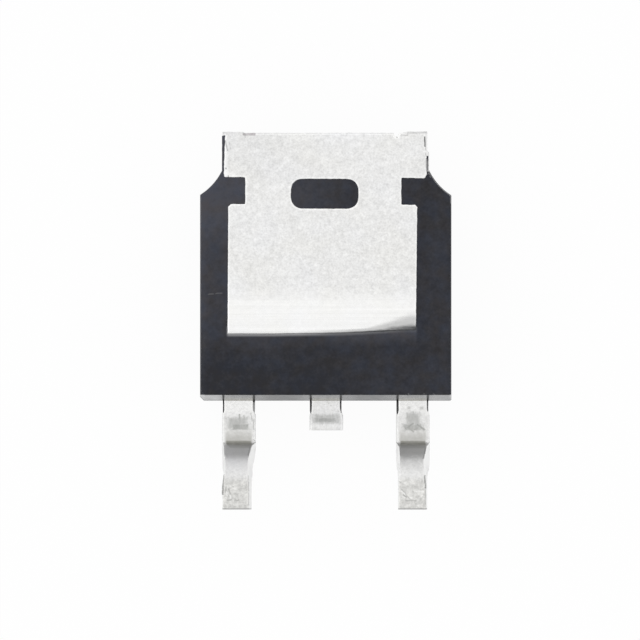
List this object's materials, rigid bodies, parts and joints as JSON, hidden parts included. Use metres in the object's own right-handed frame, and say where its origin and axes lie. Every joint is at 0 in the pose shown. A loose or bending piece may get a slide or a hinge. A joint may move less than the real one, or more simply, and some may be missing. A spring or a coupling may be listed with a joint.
{
  "type": "surface-mount voltage regulator",
  "caption": "Flat epoxy-moulded voltage regulator with a tinned heat tab and bare pad, gull-wing outer leads and a cropped middle lead, lying with its solder side up.",
  "frame": {"origin": "middle of the whole outline on the marked face, which lies on the floor", "axes": "+Z out of the solder side, +Y from the lead tips to the heat tab, +X towards pin 1"},
  "size_m": [0.0066, 0.01, 0.0023],
  "materials": {
    "epoxy": "black-grey filled epoxy moulding, finely matt",
    "tinned_copper": "matt tin plate over copper strip",
    "silicon": "polished silicon",
    "die_solder": "dull high-lead solder",
    "gold_wire": "drawn gold wire"
  },
  "bodies": {
    "root": {"moulded_body": "epoxy", "heat_tab": "tinned_copper", "pin_1_lead": "tinned_copper", "pin_3_lead": "tinned_copper", "silicon_die": "silicon", "die_solder": "die_solder", "input_wire_1": "gold_wire", "input_wire_2": "gold_wire", "output_wire_1": "gold_wire", "output_wire_2": "gold_wire", "ground_wire": "gold_wire"}
  },
  "joints": []
}
